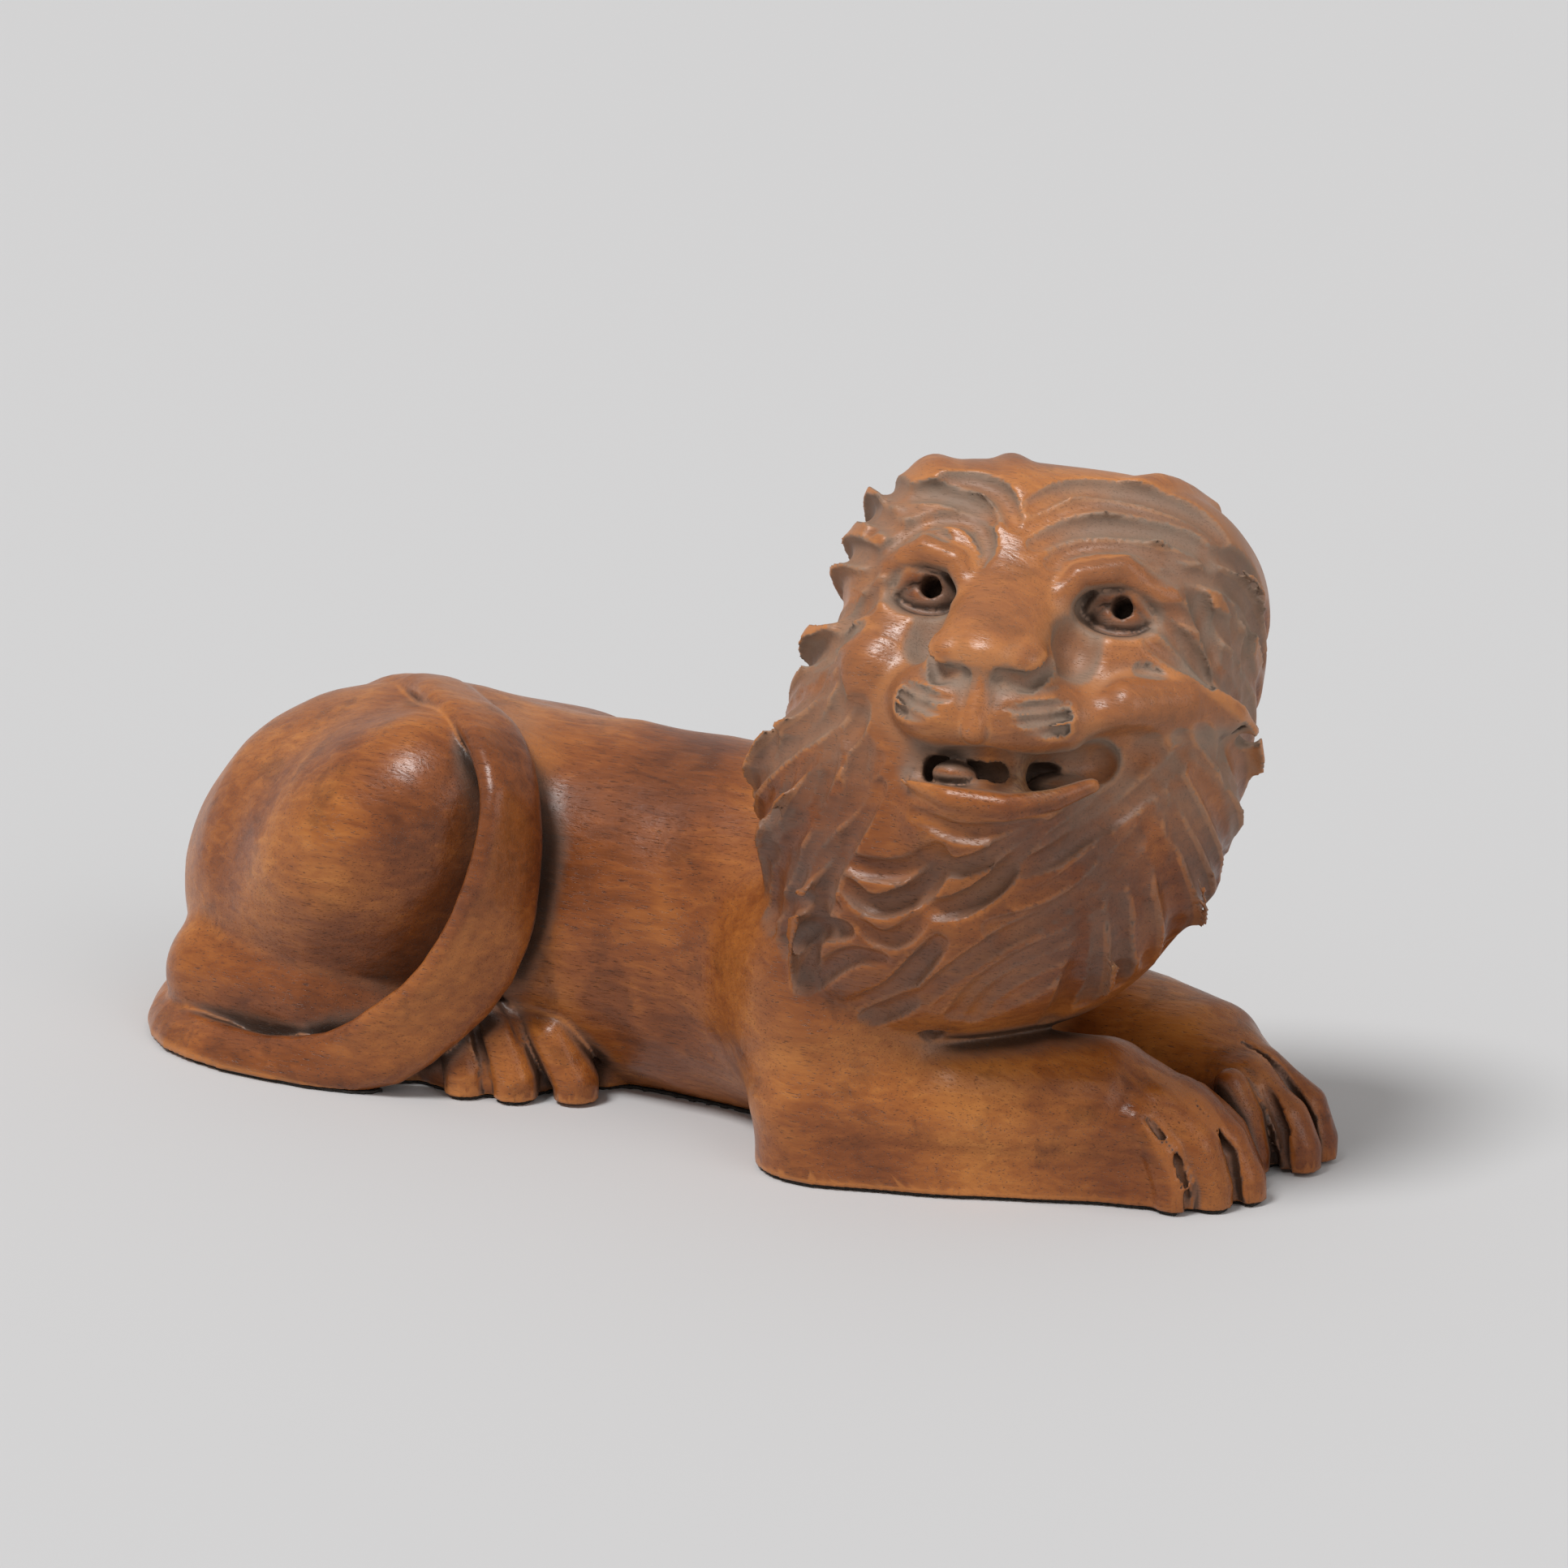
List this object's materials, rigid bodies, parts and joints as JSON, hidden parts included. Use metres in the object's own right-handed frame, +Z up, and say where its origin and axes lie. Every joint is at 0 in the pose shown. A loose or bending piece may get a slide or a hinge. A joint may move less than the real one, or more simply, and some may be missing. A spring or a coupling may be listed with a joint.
{
  "type": "carved recumbent lion figure",
  "caption": "Lion carved in the round from one block of wood, lying down with its head turned and its tail over its back, on a thin felt underside.",
  "frame": {"origin": "on the surface that the lion stands on, on the body's middle plane and half way along its length", "axes": "+X to the front paws, +Y to the lion's left, +Z up"},
  "size_m": [0.4796, 0.2043, 0.2504],
  "materials": {
    "carved_wood": "waxed and worn, with grey dust in the cuts",
    "dark_felt": "matte"
  },
  "bodies": {
    "root": {"lion": "carved_wood", "felt": "dark_felt"}
  },
  "joints": []
}
